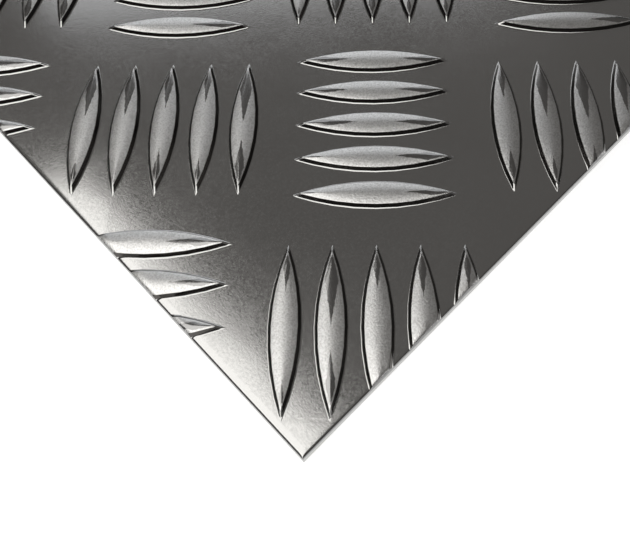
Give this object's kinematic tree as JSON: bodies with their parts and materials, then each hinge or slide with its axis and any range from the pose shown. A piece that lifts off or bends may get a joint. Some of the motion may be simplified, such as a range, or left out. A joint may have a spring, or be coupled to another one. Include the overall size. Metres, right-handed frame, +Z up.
{
  "type": "tread plate",
  "caption": "Flat rolled aluminium tread plate with lens-shaped anti-slip bars raised in groups that alternate in direction, set at 45 degrees to the sheared edges.",
  "frame": {"origin": "centre of the flat underside", "axes": "+X along the longer sheared edge, +Y along the shorter one, +Z up out of the tread face"},
  "size_m": [0.25, 0.2, 0.004],
  "materials": {
    "mill_aluminium": "bright mill finish as rolled, with a fine grain along the length and small scuffs"
  },
  "bodies": {
    "root": {"tread_plate": "mill_aluminium"}
  },
  "joints": []
}
